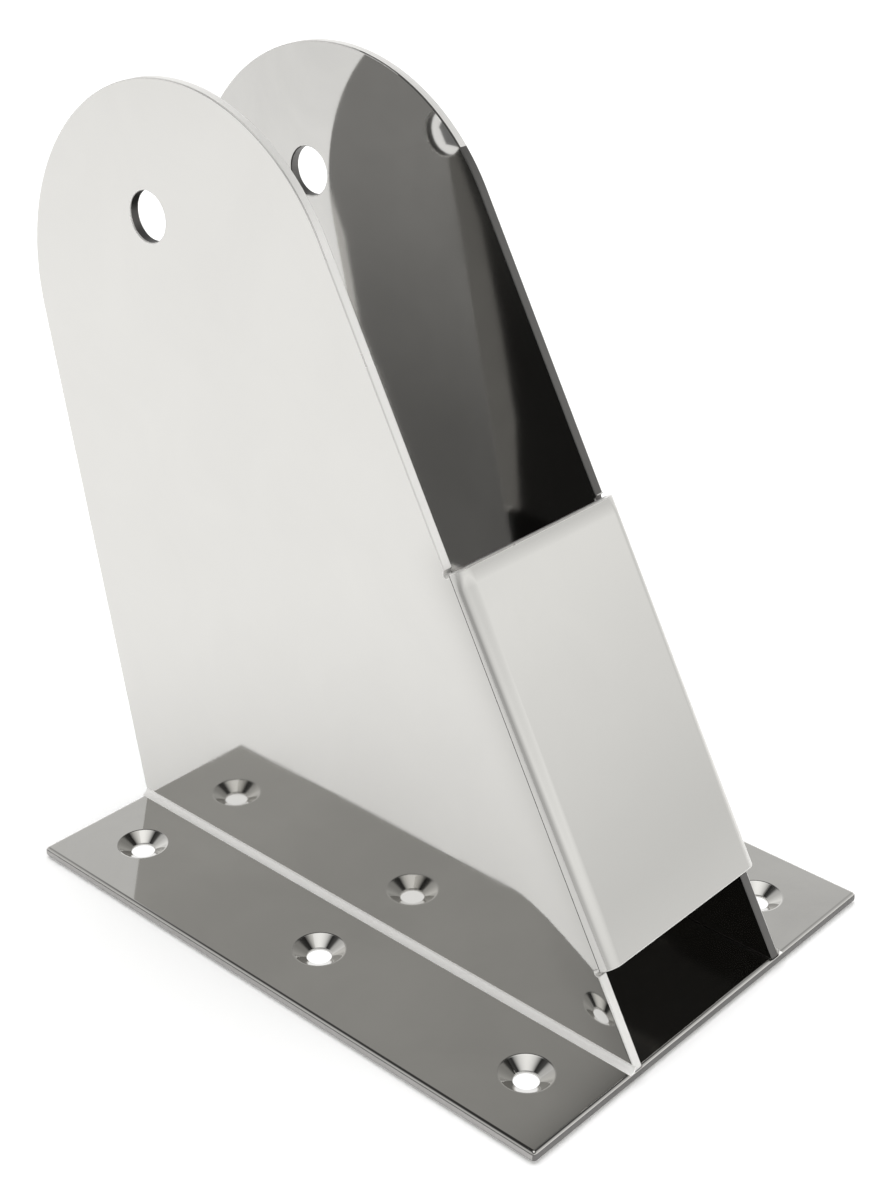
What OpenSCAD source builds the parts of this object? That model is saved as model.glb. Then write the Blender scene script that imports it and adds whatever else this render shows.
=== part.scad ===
// Mast step in polished stainless sheet.
// A rectangular base plate carries one folded sheet: two tall cheeks joined by a sloped front web.
// The mast's foot stands between the cheeks and tips on a bolt through the two pivot holes.
// X runs across, front is -Y, Z is up. The origin is the middle of the plate's underside.

/* [Sheet] */
// Thickness of the base plate and of the folded body
sheet = 2.5; // [2:0.5:3]
// Inside radius of the two folds
fold_r = 1; // [0.5:0.5:2]

/* [Base plate] */
// Length of the plate, front to rear
plate_l = 155; // [145:1:170]
// Width of the plate, over both flanges
plate_w = 117; // [110:1:140]
// Radius of the plate's four corners
corner_r = 1; // [0.5:0.5:5]

/* [Screw holes] */
// Through diameter of each screw hole
screw_d = 5.5; // [4.5:0.5:6.5]
// Diameter of the countersink at the plate's top face
sink_d = 12; // [9:0.5:12]
// Included angle of the countersink
sink_angle = 120; // [115:5:130]
// Distance between the two rows of holes
row_gap = 83; // [75:1:88]
// Distance from one hole to the next along a row
hole_pitch = 61; // [40:1:62]

/* [Cheeks] */
// Clear space between the cheeks
gap = 47.5; // [30:0.5:50]
// Height of the whole fitting
height = 189.5; // [180:0.5:200]
// Radius of the cheeks' round top
top_r = 51.5; // [46:0.5:54]
// Lean of the cheeks' rear edge from upright
rear_lean = 13; // [8:1:16]
// Diameter of the pivot hole
pivot_d = 12; // [8:0.5:16]
// Height of the pivot hole's middle above the plate's underside
pivot_h = 157; // [145:1:162]
// Distance of the pivot hole's middle behind the middle of the plate
pivot_back = 65.5; // [55:0.5:75]

/* [Web] */
// Distance from the front foot to the web's lower end, up the slope
web_start = 22; // [15:1:30]
// Length of the web, up the slope
web_l = 88; // [60:1:90]
// Distance by which the folds start ahead of the cheeks' free front edge
fold_ahead = 0.8; // [0.8:0.1:1.5]
// Diameter of the relief hole where a fold ends at the cheek's free edge
relief_d = 1.4; // [1:0.1:1.4]

/* [Welds] */
// Leg of the polished weld along the outer foot of each cheek
weld_leg = 1.5; // [1:0.25:2]

/* [Hidden] */
$fn = 180;

// The cheeks' outer faces lie at plus and minus this
half_body = gap / 2 + sheet;
// Outside radius of the folds
fold_out = fold_r + sheet;

// The cone of a countersink goes this deep, and a short straight land is left under it
sink_depth = (sink_d - screw_d) / 2 / tan(sink_angle / 2);

// Both feet of a cheek end flush with the plate
rear_foot = plate_l / 2;
front_foot = -plate_l / 2;

// The round top touches the leaning rear edge. The front edge leans so that it touches it too
top_z = height - top_r;
top_y = rear_foot + tan(rear_lean) * (top_z - sheet) - top_r / cos(rear_lean);
foot_to_top = norm([top_y - front_foot, top_z - sheet]);
front_lean = atan2(top_y - front_foot, top_z - sheet) - asin(top_r / foot_to_top);
rear_touch = [top_y + top_r * cos(rear_lean), top_z - top_r * sin(rear_lean)];
front_touch = [top_y - top_r * cos(front_lean), top_z + top_r * sin(front_lean)];

// Long enough to pass every edge of the cheeks
reach = plate_l + height;

// Turns a flat outline drawn in y and z into a slab that grows along +X
module upright_slab(thickness) {
    rotate([90, 0, 90])
        linear_extrude(thickness)
            children();
}

// Puts a shape in the frame of the web: Z runs up the slope from the front foot and -Y points forward
module on_slope() {
    translate([0, front_foot, sheet])
        rotate([-front_lean, 0, 0])
            children();
}

// Rectangle with round corners, centred
module rounded_plate_outline() {
    inner_l = plate_l - 2 * corner_r;
    inner_w = plate_w - 2 * corner_r;
    square([plate_w, inner_l], center = true);
    square([inner_w, plate_l], center = true);
    for (x = [-1, 1], y = [-1, 1])
        translate([x * inner_w / 2, y * inner_l / 2])
            circle(corner_r);
}

// Countersunk hole through the plate, at the origin
module screw_hole() {
    translate([0, 0, -1])
        cylinder(h = sheet + 2, d = screw_d);
    translate([0, 0, sheet - sink_depth])
        cylinder(h = sink_depth, d1 = screw_d, d2 = sink_d);
    translate([0, 0, sheet])
        cylinder(h = 1, d = sink_d);
}

module base_plate() {
    color("silver")
        difference() {
            linear_extrude(sheet)
                rounded_plate_outline();
            for (x = [-1, 1], y = [-1, 0, 1])
                translate([x * row_gap / 2, y * hole_pitch, 0])
                    screw_hole();
        }
}

// Cheek in y and z: a blade with leaning edges under a round top
module cheek_outline() {
    polygon([
        [front_foot, sheet],
        [rear_foot, sheet],
        rear_touch,
        [top_y, top_z],
        front_touch,
    ]);
    translate([top_y, top_z])
        circle(top_r);
}

// Quarter of a ring, the section of one fold, with its middle at the origin
module fold_section() {
    intersection() {
        difference() {
            circle(fold_out);
            circle(fold_r);
        }
        translate([0, -fold_out])
            square(fold_out);
    }
}

// Section of the folded sheet: the web, both folds and two legs that reach past the cheeks' edges
module folded_section() {
    flat_w = gap - 2 * fold_r;
    translate([-flat_w / 2, -fold_out])
        square([flat_w, sheet]);
    for (side = [0, 1])
        mirror([side, 0]) {
            translate([flat_w / 2, 0])
                fold_section();
            translate([gap / 2, 0])
                square([sheet, reach]);
        }
}

// Everything the side view keeps of the folded sheet: the cheeks, and the web with its folds
module side_outline() {
    cheek_outline();
    translate([front_foot, sheet])
        rotate(-front_lean)
            translate([-2 * (fold_ahead + fold_out), web_start])
                square([3 * (fold_ahead + fold_out), web_l]);
}

// Round hole along X, at a height up the slope, on the cheeks' free front edge
module relief_hole(up) {
    translate([-half_body - 1, 0, up])
        rotate([0, 90, 0])
            cylinder(h = 2 * half_body + 2, d = relief_d);
}

module folded_body() {
    color("gainsboro")
        difference() {
            intersection() {
                on_slope()
                    translate([0, -fold_ahead, -reach / 2])
                        linear_extrude(2 * reach)
                            folded_section();
                translate([-half_body - 1, 0, 0])
                    upright_slab(2 * half_body + 2)
                        side_outline();
            }
            translate([-half_body - 1, pivot_back, pivot_h])
                rotate([0, 90, 0])
                    cylinder(h = 2 * half_body + 2, d = pivot_d);
            on_slope() {
                relief_hole(web_start);
                relief_hole(web_start + web_l);
            }
        }
}

// Fillet of weld metal, ground to a flat face, along the whole foot of a cheek
module weld() {
    translate([half_body, rear_foot, sheet])
        rotate([90, 0, 0])
            linear_extrude(plate_l)
                polygon([[0, 0], [weld_leg, 0], [0, weld_leg]]);
}

module left_weld() {
    color("whitesmoke")
        mirror([1, 0, 0])
            weld();
}

module right_weld() {
    color("whitesmoke")
        weld();
}

base_plate();
folded_body();
left_weld();
right_weld();
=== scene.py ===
import bpy
from math import atan2, asin, cos, hypot, radians, sin, tan
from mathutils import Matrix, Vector


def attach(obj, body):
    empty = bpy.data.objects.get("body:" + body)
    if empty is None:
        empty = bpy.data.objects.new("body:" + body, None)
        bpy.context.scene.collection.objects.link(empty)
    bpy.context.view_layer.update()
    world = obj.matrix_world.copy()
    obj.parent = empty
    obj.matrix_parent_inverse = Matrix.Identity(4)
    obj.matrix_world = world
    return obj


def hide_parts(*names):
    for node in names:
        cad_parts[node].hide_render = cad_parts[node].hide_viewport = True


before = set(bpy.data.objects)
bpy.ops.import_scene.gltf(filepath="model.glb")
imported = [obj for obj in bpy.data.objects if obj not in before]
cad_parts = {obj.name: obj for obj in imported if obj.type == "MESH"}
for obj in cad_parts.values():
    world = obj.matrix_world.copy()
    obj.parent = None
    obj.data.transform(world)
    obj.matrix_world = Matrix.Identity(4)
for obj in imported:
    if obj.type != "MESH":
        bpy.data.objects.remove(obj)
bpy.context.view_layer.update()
bpy.ops.object.select_all(action="DESELECT")


# Base plate. A rectangle of thick stainless sheet, sheared to size and polished on its upper face.
# Three countersunk screw holes run along each side, outside the cheeks.
# Its cut edges are only ground, so they are rougher than the faces; they are also painted dark as painted shade,
# deeper on the front and back than on the left and right.
sheet = 0.0025
plate_l = 0.155
plate_w = 0.117
corner_r = 0.001
screw_r = 0.00275
sink_r = 0.006
sink_slope = tan(radians(60))
sink_depth = (sink_r - screw_r) / sink_slope
sink_rise = 0.001
row_x = 0.0415
hole_pitch = 0.061
plate_ease = 0.00025
hair = 0.0001
# the order of a piece's finishes: polished face, cut edge, eased edge
on_face, on_cut, on_eased = 0, 1, 2


def only(piece):
    """Select one piece alone."""
    bpy.ops.object.select_all(action="DESELECT")
    piece.select_set(True)
    bpy.context.view_layer.objects.active = piece


def apply_place(piece):
    """Put a piece's place, turn and size into its mesh."""
    only(piece)
    bpy.ops.object.transform_apply(location=True, rotation=True, scale=True)


def cut(piece, tool, way="DIFFERENCE"):
    """Cut one closed shape with another, and clear the tool away."""
    only(piece)
    step = piece.modifiers.new("cut", "BOOLEAN")
    step.operation = way
    step.solver = "EXACT"
    step.object = tool
    bpy.ops.object.modifier_apply(modifier=step.name)
    bpy.data.objects.remove(tool, do_unlink=True)


def ease_edges(piece, width, sharper_than):
    """Round every edge that is sharper than an angle in degrees, and keep the flats' shading flat."""
    only(piece)
    bpy.ops.object.shade_smooth()
    step = piece.modifiers.new("eased edges", "BEVEL")
    step.width = width
    step.segments = 3
    step.limit_method = "ANGLE"
    step.angle_limit = radians(sharper_than)
    step.use_clamp_overlap = False
    step.material = on_eased
    bpy.ops.object.modifier_apply(modifier=step.name)
    flats = piece.modifiers.new("flats stay flat", "WEIGHTED_NORMAL")
    flats.mode = "FACE_AREA"
    flats.weight = 100
    flats.keep_sharp = False
    bpy.ops.object.modifier_apply(modifier=flats.name)


def steel(name, colour, roughness, wave, line, smear, metallic=1.0, mottle=0.94):
    """Stainless steel with a long wave left by rolling, fine polish lines, and faint smears of wax.

    wave and line are depths in metres. smear is what the smears add to the roughness.
    """
    finish = bpy.data.materials.new(name)
    finish.use_nodes = True
    nodes, links = finish.node_tree.nodes, finish.node_tree.links
    shader = nodes["Principled BSDF"]
    shader.inputs["Metallic"].default_value = metallic
    where = nodes.new("ShaderNodeTexCoord")

    smears = nodes.new("ShaderNodeTexNoise")
    smears.inputs["Scale"].default_value = 34.0
    smears.inputs["Detail"].default_value = 5.0
    smears.inputs["Roughness"].default_value = 0.62
    smears.inputs["Distortion"].default_value = 0.6
    links.new(where.outputs["Object"], smears.inputs["Vector"])
    smear_range = nodes.new("ShaderNodeMapRange")
    smear_range.inputs["From Min"].default_value = 0.35
    smear_range.inputs["From Max"].default_value = 0.75
    smear_range.inputs["To Min"].default_value = roughness
    smear_range.inputs["To Max"].default_value = roughness + smear
    links.new(smears.outputs["Fac"], smear_range.inputs["Value"])
    links.new(smear_range.outputs["Result"], shader.inputs["Roughness"])

    tone = nodes.new("ShaderNodeMix")
    tone.data_type = "RGBA"
    tone.inputs["A"].default_value = (*colour, 1.0)
    tone.inputs["B"].default_value = (*[c * mottle for c in colour], 1.0)
    links.new(smears.outputs["Fac"], tone.inputs["Factor"])
    links.new(tone.outputs["Result"], shader.inputs["Base Color"])

    long_wave = nodes.new("ShaderNodeTexNoise")
    long_wave.inputs["Scale"].default_value = 13.0
    long_wave.inputs["Detail"].default_value = 1.0
    links.new(where.outputs["Object"], long_wave.inputs["Vector"])
    wave_bump = nodes.new("ShaderNodeBump")
    wave_bump.inputs["Strength"].default_value = 1.0
    wave_bump.inputs["Distance"].default_value = wave
    links.new(long_wave.outputs["Fac"], wave_bump.inputs["Height"])

    stretch = nodes.new("ShaderNodeMapping")
    stretch.inputs["Scale"].default_value = (1900.0, 45.0, 1900.0)
    links.new(where.outputs["Object"], stretch.inputs["Vector"])
    lines = nodes.new("ShaderNodeTexNoise")
    lines.inputs["Scale"].default_value = 1.0
    lines.inputs["Detail"].default_value = 3.0
    links.new(stretch.outputs["Vector"], lines.inputs["Vector"])
    line_bump = nodes.new("ShaderNodeBump")
    line_bump.inputs["Strength"].default_value = 1.0
    line_bump.inputs["Distance"].default_value = line
    links.new(lines.outputs["Fac"], line_bump.inputs["Height"])
    links.new(wave_bump.outputs["Normal"], line_bump.inputs["Normal"])
    links.new(line_bump.outputs["Normal"], shader.inputs["Normal"])
    return finish


bpy.ops.mesh.primitive_cube_add(size=1.0, location=(0.0, 0.0, sheet / 2), scale=(plate_w, plate_l, sheet))
plate = bpy.context.object
plate.name = "polished_base_plate"
apply_place(plate)
bpy.ops.object.mode_set(mode="EDIT")
bpy.ops.mesh.select_all(action="DESELECT")
bpy.ops.object.mode_set(mode="OBJECT")
for edge in plate.data.edges:
    a, b = (plate.data.vertices[i].co for i in edge.vertices)
    edge.select = abs(a.z - b.z) > sheet / 2
bpy.ops.object.mode_set(mode="EDIT")
bpy.ops.mesh.select_mode(type="EDGE")
bpy.ops.mesh.bevel(offset=corner_r, segments=8, profile=0.5, affect="EDGES")
bpy.ops.object.mode_set(mode="OBJECT")

for x in (-row_x, row_x):
    for y in (-hole_pitch, 0.0, hole_pitch):
        bpy.ops.mesh.primitive_cylinder_add(vertices=96, radius=screw_r, depth=4 * sheet, location=(x, y, 0.0))
        cut(plate, bpy.context.object)
        bpy.ops.mesh.primitive_cone_add(
            vertices=96, radius1=screw_r, radius2=sink_r + sink_rise * sink_slope,
            depth=sink_depth + sink_rise, location=(x, y, sheet - sink_depth + (sink_depth + sink_rise) / 2))
        cut(plate, bpy.context.object)

# painted shade on the cut edges: the front, back and corners darkest, the left and right sides less dark
on_less_shaded_cut = 3
plate_face = steel("plate_face", (0.675, 0.665, 0.642), 0.035, 0.00055, 0.0000010, 0.05, mottle=0.80)
plate_cut_deep_shade = steel("plate_cut_deep_shade", (0.19, 0.186, 0.182), 0.42, 0.0001, 0.000006, 0.1)
plate_cut_less_shade = steel("plate_cut_less_shade", (0.42, 0.41, 0.40), 0.36, 0.0001, 0.000006, 0.1)
plate_eased = steel("plate_eased", (0.68, 0.67, 0.65), 0.12, 0.0001, 0.000002, 0.05)
for finish in (plate_face, plate_cut_deep_shade, plate_eased, plate_cut_less_shade):
    plate.data.materials.append(finish)
for face in plate.data.polygons:
    at = face.center
    outside = abs(at.x) > plate_w / 2 - corner_r - hair or abs(at.y) > plate_l / 2 - corner_r - hair
    if outside and abs(face.normal.z) < 0.5:
        face.material_index = on_less_shaded_cut if abs(face.normal.x) > 0.9 else on_cut
ease_edges(plate, plate_ease, 25)
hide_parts("base_plate")
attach(plate, "root")


# Folded body. One piece of the same sheet, laser cut, polished and folded twice into a U:
# two tall cheeks with round tops, joined low in front by the sloped web.
# A hole for the mast's pivot bolt goes through both cheeks.
gap = 0.0475
height = 0.1895
top_r = 0.0515
rear_lean = radians(13)
fold_r = 0.001
fold_out = fold_r + sheet
fold_ahead = 0.0008
web_start = 0.022
web_l = 0.088
pivot_r = 0.006
pivot_y = 0.0655
pivot_z = 0.157
relief_r = 0.0007
past_web = 0.0004
body_ease = 0.0003
bow_l = 0.016
bow_h = 0.0010
bow_fade = (0.012, -0.004)
half_body = gap / 2 + sheet
front_foot = -plate_l / 2
top_z = height - top_r
top_y = plate_l / 2 + tan(rear_lean) * (top_z - sheet) - top_r / cos(rear_lean)
top_back, top_up = top_y - front_foot, top_z - sheet
front_lean = atan2(top_back, top_up) - asin(top_r / hypot(top_back, top_up))
across_slope = (0.0, cos(front_lean), -sin(front_lean))
up_slope = (0.0, sin(front_lean), cos(front_lean))


def on_slope(back, up):
    """A place in the web's own frame: back from the cheeks' front edge, and up the slope from the front foot."""
    return (
        0.0,
        front_foot + up * sin(front_lean) + back * cos(front_lean),
        sheet + up * cos(front_lean) - back * sin(front_lean))


# the sheet folded round a block: two front edges are rounded, and the block's back, top and bottom are open
web_face = -fold_ahead - fold_out
block_deep = 0.17
block_l = 0.36
bpy.ops.mesh.primitive_cube_add(
    size=1.0, location=on_slope(web_face + block_deep / 2, web_start + web_l), rotation=(-front_lean, 0.0, 0.0),
    scale=(2 * half_body, block_deep, block_l))
body = bpy.context.object
body.name = "polished_folded_body"
only(body)
bpy.ops.object.transform_apply(location=False, rotation=False, scale=True)
for edge in body.data.edges:
    a, b = (body.data.vertices[i].co for i in edge.vertices)
    edge.select = abs(a.z - b.z) > 0.1 and a.y < 0.0
for face in body.data.polygons:
    face.select = False
bpy.ops.object.mode_set(mode="EDIT")
bpy.ops.mesh.select_mode(type="EDGE")
bpy.ops.mesh.bevel(offset=fold_out, segments=16, profile=0.5, affect="EDGES")
bpy.ops.mesh.select_all(action="DESELECT")
bpy.ops.mesh.select_mode(type="FACE")
bpy.ops.object.mode_set(mode="OBJECT")
for face in body.data.polygons:
    face.select = abs(face.normal.z) > 0.9 or face.normal.y > 0.9
bpy.ops.object.mode_set(mode="EDIT")
bpy.ops.mesh.delete(type="FACE")
bpy.ops.object.mode_set(mode="OBJECT")
apply_place(body)
wall = body.modifiers.new("sheet", "SOLIDIFY")
wall.thickness = sheet
wall.offset = -1.0
wall.use_even_offset = True
bpy.ops.object.modifier_apply(modifier=wall.name)

# the side view it is cut to: round top and long foot, wrapped tight, and the web's length in front
side_w = 0.07
along_x = (0.0, radians(90), 0.0)
foot_h = 0.00002
bpy.ops.mesh.primitive_cylinder_add(
    vertices=360, radius=top_r, depth=side_w, location=(0.0, top_y, top_z), rotation=along_x)
side_view = bpy.context.object
bpy.ops.mesh.primitive_cube_add(
    size=1.0, location=(0.0, 0.0, sheet + foot_h / 2), scale=(side_w, plate_l, foot_h))
foot = bpy.context.object
side_view.select_set(True)
foot.select_set(True)
bpy.context.view_layer.objects.active = side_view
bpy.ops.object.join()
apply_place(side_view)
bpy.ops.object.mode_set(mode="EDIT")
bpy.ops.mesh.select_all(action="SELECT")
bpy.ops.mesh.convex_hull()
bpy.ops.object.mode_set(mode="OBJECT")
web_block_w = 0.066
web_block_deep = 0.02
bpy.ops.mesh.primitive_cube_add(
    size=1.0, location=on_slope(0.0, web_start + web_l / 2), rotation=(-front_lean, 0.0, 0.0),
    scale=(web_block_w, web_block_deep, web_l))
web_block = bpy.context.object
apply_place(web_block)
cut(side_view, web_block, "UNION")
cut(body, side_view, "INTERSECT")

# the pivot hole, and a small relief hole where each fold ends at the cheek's free edge
hole_l = 0.08
bpy.ops.mesh.primitive_cylinder_add(
    vertices=128, radius=pivot_r, depth=hole_l, location=(0.0, pivot_y, pivot_z), rotation=along_x)
cut(body, bpy.context.object)
for up in (web_start, web_start + web_l):
    bpy.ops.mesh.primitive_cylinder_add(
        vertices=32, radius=relief_r, depth=hole_l, location=on_slope(0.0, up), rotation=along_x)
    cut(body, bpy.context.object)

# two cuts across the cheeks at the relief holes keep their flat faces simple
bpy.ops.object.mode_set(mode="EDIT")
for up in (web_start - past_web, web_start + web_l + past_web):
    bpy.ops.mesh.select_all(action="SELECT")
    bpy.ops.mesh.bisect(plane_co=on_slope(0.0, up), plane_no=up_slope)
bpy.ops.object.mode_set(mode="OBJECT")

# the cheeks bow slightly outwards to the folds beside the web, which bends what they mirror
body_face = steel("body_face", (0.640, 0.632, 0.612), 0.035, 0.00018, 0.0000010, 0.05)
nodes, links = body_face.node_tree.nodes, body_face.node_tree.links
where = nodes.new("ShaderNodeTexCoord")
backwards = nodes.new("ShaderNodeVectorMath")
backwards.operation = "DOT_PRODUCT"
backwards.inputs[1].default_value = across_slope
links.new(where.outputs["Object"], backwards.inputs[0])
near_fold = nodes.new("ShaderNodeMapRange")
near_fold.clamp = False
behind_foot = front_foot * cos(front_lean) - sheet * sin(front_lean)
near_fold.inputs["From Min"].default_value = behind_foot + bow_l
near_fold.inputs["From Max"].default_value = behind_foot - fold_ahead
links.new(backwards.outputs["Value"], near_fold.inputs["Value"])
one_side = nodes.new("ShaderNodeMath")
one_side.operation = "MAXIMUM"
one_side.inputs[1].default_value = 0.0
links.new(near_fold.outputs["Result"], one_side.inputs[0])
bow = nodes.new("ShaderNodeMath")
bow.operation = "POWER"
bow.inputs[1].default_value = 3.0
links.new(one_side.outputs["Value"], bow.inputs[0])
upwards = nodes.new("ShaderNodeVectorMath")
upwards.operation = "DOT_PRODUCT"
upwards.inputs[1].default_value = up_slope
links.new(where.outputs["Object"], upwards.inputs[0])
above_web = nodes.new("ShaderNodeMapRange")
above_web.interpolation_type = "SMOOTHSTEP"
web_end = front_foot * sin(front_lean) + sheet * cos(front_lean) + web_start + web_l
above_web.inputs["From Min"].default_value = web_end + bow_fade[0]
above_web.inputs["From Max"].default_value = web_end + bow_fade[1]
links.new(upwards.outputs["Value"], above_web.inputs["Value"])
bow_here = nodes.new("ShaderNodeMath")
bow_here.operation = "MULTIPLY"
links.new(bow.outputs["Value"], bow_here.inputs[0])
links.new(above_web.outputs["Result"], bow_here.inputs[1])
bow_bump = nodes.new("ShaderNodeBump")
bow_bump.invert = True
bow_bump.inputs["Distance"].default_value = bow_h
links.new(bow_here.outputs["Value"], bow_bump.inputs["Height"])
first_bump = next(
    n for n in nodes if n.bl_idname == "ShaderNodeBump" and not n.inputs["Normal"].is_linked and n != bow_bump)
links.new(bow_bump.outputs["Normal"], first_bump.inputs["Normal"])

# painted shade: their outer faces are painted darker there, where the sheet starts to turn
across = nodes.new("ShaderNodeSeparateXYZ")
links.new(where.outputs["Object"], across.inputs["Vector"])
aside = nodes.new("ShaderNodeMath")
aside.operation = "ABSOLUTE"
links.new(across.outputs["X"], aside.inputs[0])
on_cheek = nodes.new("ShaderNodeMapRange")
on_cheek.inputs["From Min"].default_value = half_body - 2 * body_ease
on_cheek.inputs["From Max"].default_value = half_body - hair
links.new(aside.outputs["Value"], on_cheek.inputs["Value"])
shade = nodes.new("ShaderNodeMath")
shade.operation = "MULTIPLY"
shade.use_clamp = True
links.new(bow_here.outputs["Value"], shade.inputs[0])
links.new(on_cheek.outputs["Result"], shade.inputs[1])
painted_fold_shade = nodes.new("ShaderNodeMix")
painted_fold_shade.data_type = "RGBA"
painted_fold_shade.inputs["B"].default_value = (0.50, 0.494, 0.478, 1.0)
links.new(shade.outputs["Value"], painted_fold_shade.inputs["Factor"])
face_shader = nodes["Principled BSDF"]
links.new(face_shader.inputs["Base Color"].links[0].from_socket, painted_fold_shade.inputs["A"])
links.new(painted_fold_shade.outputs["Result"], face_shader.inputs["Base Color"])

# painted shade: the insides are a darker copy of the face steel, and the far front edge and the pivot holes are
# painted nearly black
on_inside_shaded, on_painted_shade = 3, 4
largest_edge = 0.0006
body_inside_shaded = steel("body_inside_shaded", (0.58, 0.573, 0.556), 0.03, 0.00018, 0.0000003, 0.03, mottle=0.82)
body_cut = steel("body_cut", (0.82, 0.81, 0.79), 0.34, 0.0001, 0.000006, 0.1, metallic=0.55)
# nearly black cut steel: painted shade on the far front edge, in the pivot holes and at the feet
body_cut_painted_shade = steel("body_cut_painted_shade", (0.15, 0.146, 0.142), 0.42, 0.0001, 0.000006, 0.1)
body_eased = steel("body_eased", (0.72, 0.71, 0.69), 0.26, 0.0001, 0.000002, 0.05, metallic=0.7)
for finish in (body_face, body_cut, body_eased, body_inside_shaded, body_cut_painted_shade):
    body.data.materials.append(finish)
for face in body.data.polygons:
    at = face.center
    edge_of_cheek = abs(at.x) > gap / 2 and abs(face.normal.x) < 0.1 and face.area < largest_edge
    end_of_web = abs(face.normal.dot(Vector(up_slope))) > 0.99
    faces_middle = face.normal.x * at.x < -0.3 * abs(at.x)
    inside = abs(at.x) < gap / 2 + hair and (faces_middle or face.normal.y > 0.3)
    in_pivot = abs(face.normal.x) < 0.1 and hypot(at.y - pivot_y, at.z - pivot_z) < pivot_r + hair
    far_front = edge_of_cheek and at.x > 0 and face.normal.y < -0.75
    if in_pivot or far_front:
        face.material_index = on_painted_shade
    elif edge_of_cheek or end_of_web:
        face.material_index = on_cut
    else:
        face.material_index = on_inside_shaded if inside else on_face
ease_edges(body, body_ease, 30)

# painted shade: the eased inner corner of the far front edge and those at the feet are painted dark too
for face in body.data.polygons:
    at = face.center
    up = (at - Vector((0.0, front_foot, sheet))).dot(Vector(up_slope))
    beside_web = web_start - past_web + hair < up < web_start + web_l + past_web - hair
    inner_corner = gap / 2 - hair < at.x < gap / 2 + 0.4 * sheet and face.normal.y < -0.1
    at_foot = at.z < sheet + body_ease + hair
    if face.material_index == on_eased and (at_foot or inner_corner and not beside_web):
        face.material_index = on_painted_shade
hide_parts("folded_body")
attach(body, "root")


# Welds. A fillet of stainless weld metal along the outer foot of each cheek, from edge to edge of the plate.
# It holds the folded body to the plate, and is ground hollow and polished.
leg = 0.0015
hollow_profile = 0.14
# the weld's steel colour is raised to near white and half metallic as a painted highlight along the hollow
weld_painted_highlight = steel("weld_painted_highlight", (0.98, 0.97, 0.95), 0.40, 0.00006, 0.000008, 0.08, metallic=0.45, mottle=0.98)
for side, node in ((-1, "left_weld"), (1, "right_weld")):
    bpy.ops.mesh.primitive_cube_add(
        size=1.0, location=(side * (half_body + leg / 2), 0.0, sheet + leg / 2), scale=(leg, plate_l, leg))
    bead = bpy.context.object
    bead.name = "polished_" + node
    apply_place(bead)
    for face in bead.data.polygons:
        face.select = False
    for edge in bead.data.edges:
        a, b = (bead.data.vertices[i].co for i in edge.vertices)
        edge.select = min(a.z, b.z) > sheet + leg / 2 and min(abs(a.x), abs(b.x)) > half_body + leg / 2
    bpy.ops.object.mode_set(mode="EDIT")
    bpy.ops.mesh.select_mode(type="EDGE")
    bpy.ops.mesh.bevel(offset=0.97 * leg, segments=12, profile=hollow_profile, affect="EDGES")
    bpy.ops.object.mode_set(mode="OBJECT")
    bpy.ops.object.shade_smooth_by_angle(angle=radians(30))
    bead.data.materials.append(weld_painted_highlight)
    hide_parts(node)
    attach(bead, "root")


# Camera, at the photograph's place.
bpy.ops.object.camera_add(location=(-0.3123, -0.28508, 0.29559), rotation=(1.20252, -0.00064, -0.83062))
camera = bpy.context.object
camera.data.lens = 62.995
camera.data.shift_y = -0.2
bpy.context.scene.camera = camera


# Studio. White paper underfoot, a soft lamp overhead, and a room that gets darker higher up.
# Dark and grey glowing cards stand round the rear opening and over it, as painted shade for the dark inside.
# Only mirror images show them.
bpy.ops.mesh.primitive_plane_add(size=8.0, location=(0.0, 0.0, -0.0002))
floor = bpy.context.object
floor.name = "floor"
paper = bpy.data.materials.new("floor_paper")
paper.use_nodes = True
paper_shader = paper.node_tree.nodes["Principled BSDF"]
paper_shader.inputs["Base Color"].default_value = (0.9, 0.9, 0.9, 1.0)
paper_shader.inputs["Roughness"].default_value = 0.9
paper_shader.inputs["Specular IOR Level"].default_value = 0.0
paper_shader.inputs["Emission Color"].default_value = (1.0, 1.0, 1.0, 1.0)
paper_shader.inputs["Emission Strength"].default_value = 0.15
floor.data.materials.append(paper)


def flag(name, corners, low_grey, high_grey, span=(0.0, 1.0)):
    """A glowing card of painted shade that only polished faces see, and only from its front. Its grey changes
    between two heights.
    """
    bpy.ops.mesh.primitive_circle_add(vertices=len(corners), fill_type="NGON")
    card = bpy.context.object
    card.name = name
    for vertex, corner in zip(card.data.vertices, corners):
        vertex.co = corner
    card.data.update()
    light = bpy.data.materials.new(name)
    light.use_nodes = True
    nodes, links = light.node_tree.nodes, light.node_tree.links
    where = nodes.new("ShaderNodeTexCoord")
    parts = nodes.new("ShaderNodeSeparateXYZ")
    links.new(where.outputs["Object"], parts.inputs["Vector"])
    fade = nodes.new("ShaderNodeMapRange")
    fade.interpolation_type = "SMOOTHSTEP"
    fade.inputs["From Min"].default_value, fade.inputs["From Max"].default_value = span
    fade.inputs["To Min"].default_value = low_grey
    fade.inputs["To Max"].default_value = high_grey
    links.new(parts.outputs["Z"], fade.inputs["Value"])
    glow = nodes.new("ShaderNodeEmission")
    links.new(fade.outputs["Result"], glow.inputs["Strength"])
    clear = nodes.new("ShaderNodeBsdfTransparent")
    side = nodes.new("ShaderNodeNewGeometry")
    mix = nodes.new("ShaderNodeMixShader")
    links.new(side.outputs["Backfacing"], mix.inputs["Fac"])
    links.new(glow.outputs["Emission"], mix.inputs[1])
    links.new(clear.outputs["BSDF"], mix.inputs[2])
    links.new(mix.outputs["Shader"], nodes["Material Output"].inputs["Surface"])
    card.data.materials.append(light)
    card.visible_camera = False
    card.visible_diffuse = False
    card.visible_shadow = False


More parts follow.
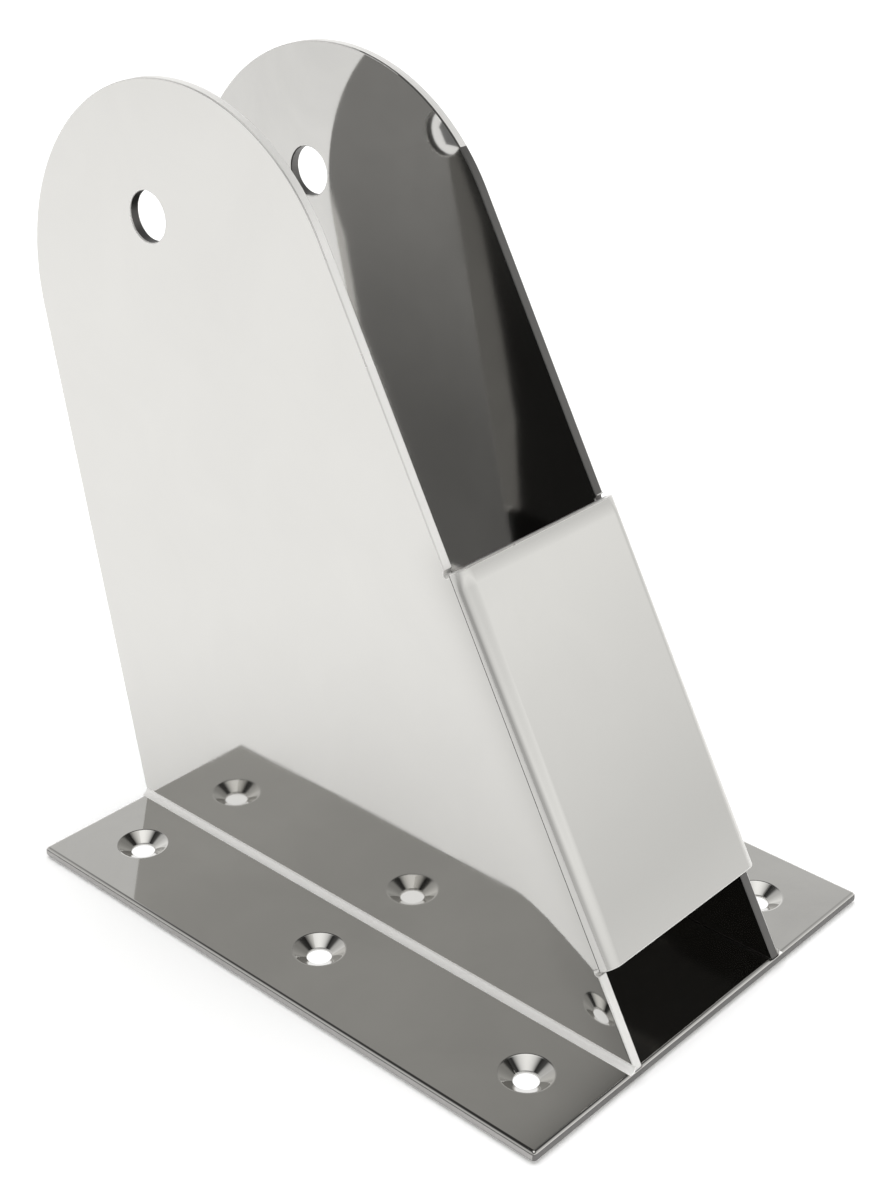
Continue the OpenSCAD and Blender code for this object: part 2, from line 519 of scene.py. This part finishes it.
# beside the rear opening, on the right: it darkens the second mirror image
flag("flag_right", [(0.025, y, z) for y, z in (
    (0.109, 0.140), (0.109, 0.190), (0.163, 0.190), (0.163, 0.135), (0.158, 0.117), (0.150, 0.100),
    (0.1445, 0.072), (0.129, 0.043), (0.110, 0.003), (0.079, 0.003))], 0.28, 0.60, (0.03, 0.15))
# beside it, on the left: a black part and a grey part behind it, for the third mirror image
flag("flag_left_black", [(-0.025, y, z) for y, z in (
    (0.079, 0.0005), (0.119, 0.0005), (0.121, 0.033), (0.127, 0.056), (0.138, 0.097), (0.149, 0.120),
    (0.140, 0.122), (0.128, 0.098), (0.118, 0.082), (0.096, 0.078))], 0.05, 0.13, (0.05, 0.12))
flag("flag_left_grey", [(-0.025, y, z) for y, z in (
    (0.119, 0.0005), (0.190, 0.0005), (0.190, 0.140), (0.152, 0.126), (0.149, 0.120), (0.138, 0.097),
    (0.127, 0.056), (0.121, 0.033))], 0.60, 0.60)
# painted shade on the floor in the rear opening, and overhead between the cheeks
flag("flag_foot", [(x, y, 0.0005) for x, y in (
    (-0.025, 0.078), (0.025, 0.078), (0.025, 0.122), (-0.025, 0.122))], 0.02, 0.02)
flag("flag_over", [(x, y, 0.14) for x, y in (
    (-0.0232, 0.001), (-0.0232, 0.104), (0.0232, 0.104), (0.0232, 0.001))], 0.08, 0.08)
# painted shade outside the pivot hole on the left
flag_r = 0.8 * pivot_r
flag("flag_hole", [
    (-0.0275, pivot_y + flag_r * cos(radians(60 * i)), pivot_z + flag_r * sin(radians(60 * i)))
    for i in range(6)], 0.25, 0.25)

# painted light: paper under the plate that glows, seen through the screw holes
bpy.ops.mesh.primitive_plane_add(size=1.0, location=(0.0, 0.0, -0.0001))
under = bpy.context.object
under.name = "glowing_paper_under_plate"
under.scale = (plate_w - 0.004, plate_l - 0.004, 1.0)
apply_place(under)
under_glow = bpy.data.materials.new("glowing_paper_under_plate")
under_glow.use_nodes = True
nodes, links = under_glow.node_tree.nodes, under_glow.node_tree.links
glow = nodes.new("ShaderNodeEmission")
glow.inputs["Strength"].default_value = 1.1
links.new(glow.outputs["Emission"], nodes["Material Output"].inputs["Surface"])
under.data.materials.append(under_glow)

world = bpy.data.worlds.new("studio")
bpy.context.scene.world = world
world.use_nodes = True
nodes, links = world.node_tree.nodes, world.node_tree.links
way = nodes.new("ShaderNodeTexCoord")
split = nodes.new("ShaderNodeSeparateXYZ")
ramp = nodes.new("ShaderNodeValToRGB")
links.new(way.outputs["Generated"], split.inputs["Vector"])
links.new(split.outputs["Z"], ramp.inputs["Fac"])
# how bright the room is, from the horizon up to the soft box overhead
room = (
    (0.00, 1.12), (0.10, 0.86), (0.18, 1.02), (0.24, 1.14), (0.40, 0.92), (0.57, 0.69),
    (0.655, 0.64), (0.70, 0.52), (0.77, 0.10), (0.88, 0.03), (0.95, 0.9), (1.0, 1.4))
stops = ramp.color_ramp.elements
for place, bright in room[1:-1]:
    stops.new(place)
for stop, (place, bright) in zip(stops, room):
    stop.position = place
    stop.color = (bright, bright, bright * 0.99, 1.0)
# the room is dimmer on the left
left_dark = nodes.new("ShaderNodeMapRange")
left_dark.interpolation_type = "SMOOTHSTEP"
left_dark.inputs["From Min"].default_value = -0.98
left_dark.inputs["From Max"].default_value = -0.30
left_dark.inputs["To Min"].default_value = 0.62
links.new(split.outputs["X"], left_dark.inputs["Value"])
links.new(ramp.outputs["Color"], nodes["Background"].inputs["Color"])
links.new(left_dark.outputs["Result"], nodes["Background"].inputs["Strength"])

bpy.ops.object.light_add(type="AREA", location=(0.35, 0.5, 1.9))
lamp = bpy.context.object
lamp.data.shape = "DISK"
lamp.data.size = 2.4
lamp.data.energy = 37.0
lamp.visible_glossy = False

bpy.context.scene.view_settings.view_transform = "Standard"
